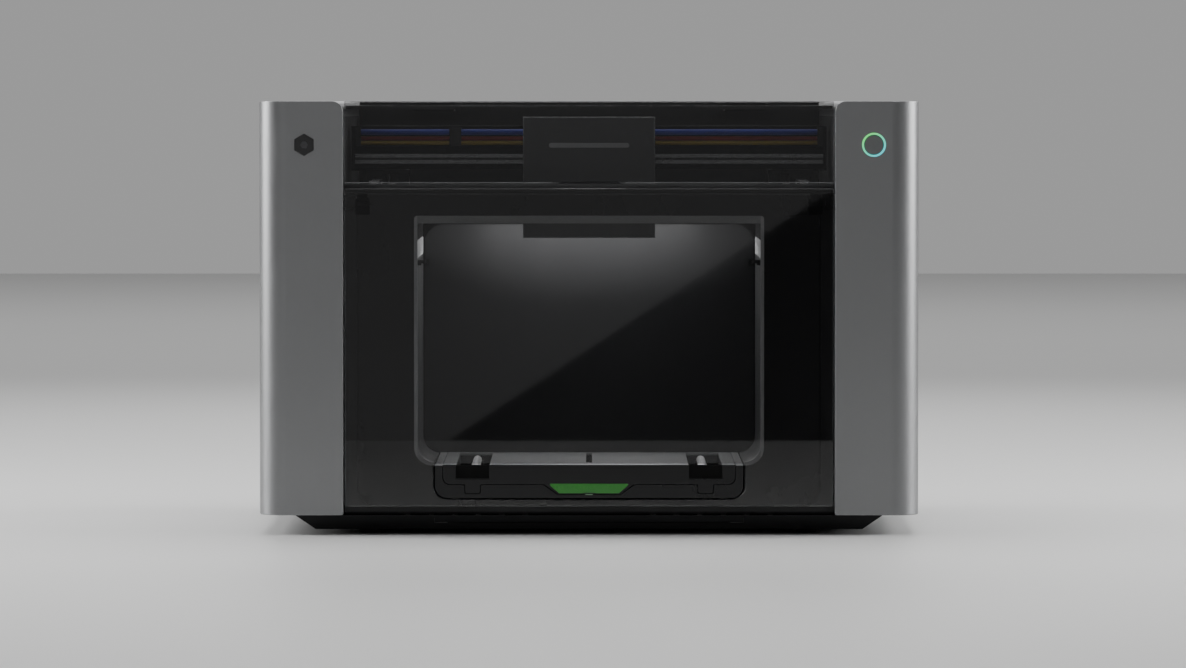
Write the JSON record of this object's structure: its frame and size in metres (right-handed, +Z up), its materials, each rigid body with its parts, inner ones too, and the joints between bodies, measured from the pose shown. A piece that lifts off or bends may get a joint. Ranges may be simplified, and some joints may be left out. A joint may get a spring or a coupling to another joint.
{
  "type": "desktop laser cutter",
  "caption": "Enclosed desktop laser cutter: rounded side housings, smoked lid, tinted front door, sliding work tray and a belt-driven laser head on an overhead gantry.",
  "frame": {"origin": "on the floor under the middle of the bounding box", "axes": "+X to the machine's right as seen from the front, +Y to the rear, +Z up; the door faces -Y"},
  "size_m": [0.6, 0.444, 0.394],
  "materials": {
    "housing": "satin silver-grey paint",
    "base_black": "fine texture",
    "deck_steel": "zinc plated",
    "rubber": "matt",
    "screw_steel": "turned",
    "inner_black": "matt black powder coat",
    "rear_black": "black powder coat",
    "fascia": "gloss",
    "bezel_grey": "satin",
    "chamber_steel": "matt grey",
    "lamp": "diffuser",
    "dark_pane": "gloss",
    "polished_steel": "ground and polished",
    "belt": "toothed",
    "motor_black": "laminated",
    "bracket_alu": "black anodised",
    "inner_plastic": "moulded",
    "board": "solder mask",
    "ring_glow": "lit green to cyan",
    "lid_glass": "smoked",
    "door_glass": "tinted gloss",
    "tray_black": "gloss",
    "pull_green": "satin",
    "tray_grey": "satin anodised",
    "beam_black": "black anodised",
    "rail_grey": "ground",
    "cable_blue": "sheath",
    "cable_red": "sheath",
    "cable_yellow": "sheath",
    "pulley_alu": "turned",
    "head_grey": "satin dark grey",
    "heatsink": "anodised",
    "button_black": "gloss",
    "switch_black": "gloss"
  },
  "bodies": {
    "body": {"base_pan": "base_black", "base_deck": "deck_steel", "rubber_feet": "rubber", "casing_screws": "screw_steel", "left_housing": "housing", "right_housing": "housing", "side_frames": "inner_black", "rear_panel": "rear_black", "front_frame": "inner_black", "front_fascia": "fascia", "window_bezel": "bezel_grey", "chamber_walls": "chamber_steel", "chamber_lamps": "lamp", "rear_pane": "dark_pane", "rear_wall": "inner_black", "gantry_deck": "inner_black", "y_rails": "polished_steel", "y_belts": "belt", "y_motor": "motor_black", "belt_brackets": "bracket_alu", "fan_frame": "inner_plastic", "exhaust_collar": "inner_plastic", "power_supply": "deck_steel", "control_board": "board", "power_inlet": "inner_plastic", "status_ring": "ring_glow", "hinge_blocks": "inner_plastic", "lid_hinge_rail": "inner_black"},
    "lid": {"lid_glass": "lid_glass", "lid_frame": "inner_black", "lid_leaves": "screw_steel"},
    "door": {"door_glass": "door_glass", "door_brackets": "screw_steel"},
    "gantry": {"x_beam": "beam_black", "x_rail": "rail_grey", "gantry_ends": "bracket_alu", "x_motor": "motor_black", "x_belt": "belt", "cable_blue": "cable_blue", "cable_red": "cable_red", "cable_yellow": "cable_yellow", "cable_clips": "inner_plastic"},
    "head": {"head_shell": "head_grey", "head_plate": "bracket_alu"},
    "focus": {"laser_module": "heatsink"},
    "fan_wheel": {"head_fan": "inner_plastic"},
    "x_drive": {"x_drive_pulley": "pulley_alu"},
    "x_idler": {"x_idler_pulley": "pulley_alu"},
    "y_shaft": {"y_drive_shaft": "polished_steel"},
    "y_idler": {"y_idlers": "pulley_alu"},
    "impeller": {"exhaust_impeller": "inner_plastic"},
    "tray": {"tray_pan": "tray_black"},
    "insert": {"work_plate": "tray_grey", "guide_rods": "polished_steel", "insert_front": "tray_black", "pull_tab": "pull_green"},
    "button": {"power_button": "button_black"},
    "rocker": {"rocker_switch": "switch_black"}
  },
  "joints": [
    {"name": "lid_hinge", "type": "hinge", "parent": "body", "child": "lid", "pos_m": [0, 0.1878, 0.391], "axis": [-1, 0, 0], "range_deg": [0, 80]},
    {"name": "door_hinge", "type": "hinge", "parent": "body", "child": "door", "pos_m": [0, -0.2136, 0.309], "axis": [-1, 0, 0], "range_deg": [0, 95]},
    {"name": "gantry_y", "type": "slide", "parent": "body", "child": "gantry", "axis": [0, 1, 0], "range_m": [-0.05, 0.082]},
    {"name": "head_x", "type": "slide", "parent": "gantry", "child": "head", "axis": [1, 0, 0], "range_m": [-0.092, 0.092]},
    {"name": "focus_z", "type": "slide", "parent": "head", "child": "focus", "axis": [0, 0, -1], "range_m": [0, 0.012]},
    {"name": "head_fan_spin", "type": "hinge", "parent": "head", "child": "fan_wheel", "pos_m": [0, -0.1335, 0.3283], "axis": [0, 1, 0], "continuous": true},
    {"name": "x_drive_spin", "type": "hinge", "parent": "gantry", "child": "x_drive", "pos_m": [-0.201, -0.043, 0.359], "axis": [0, 0, 1], "range_deg": [-840, 840]},
    {"name": "x_idler_spin", "type": "hinge", "parent": "gantry", "child": "x_idler", "pos_m": [0.201, -0.043, 0.359], "axis": [0, 0, 1], "range_deg": [-840, 840]},
    {"name": "y_shaft_spin", "type": "hinge", "parent": "body", "child": "y_shaft", "pos_m": [0, 0.164, 0.303], "axis": [1, 0, 0], "range_deg": [-760, 470]},
    {"name": "y_idler_spin", "type": "hinge", "parent": "body", "child": "y_idler", "pos_m": [0, -0.18, 0.303], "axis": [1, 0, 0], "range_deg": [-760, 470]},
    {"name": "exhaust_fan_spin", "type": "hinge", "parent": "body", "child": "impeller", "pos_m": [0, 0.17, 0.15], "axis": [0, 1, 0], "continuous": true},
    {"name": "tray_slide", "type": "slide", "parent": "body", "child": "tray", "axis": [0, -1, 0], "range_m": [0, 0.18]},
    {"name": "insert_slide", "type": "slide", "parent": "tray", "child": "insert", "axis": [0, -1, 0], "range_m": [0, 0.17]},
    {"name": "button_press", "type": "slide", "parent": "body", "child": "button", "axis": [0, 1, 0], "range_m": [0, 0.0015], "stiffness_N_per_m": 800},
    {"name": "rocker_tilt", "type": "hinge", "parent": "body", "child": "rocker", "pos_m": [0.164, 0.195, 0.0975], "axis": [1, 0, 0], "range_deg": [-8, 8]}
  ],
  "couplings": [
    {"joint": "x_drive_spin", "follows": "head_x", "rad_per_m": 157.08},
    {"joint": "x_idler_spin", "follows": "head_x", "rad_per_m": 157.08},
    {"joint": "y_shaft_spin", "follows": "gantry_y", "rad_per_m": -157.08},
    {"joint": "y_idler_spin", "follows": "gantry_y", "rad_per_m": -157.08}
  ]
}
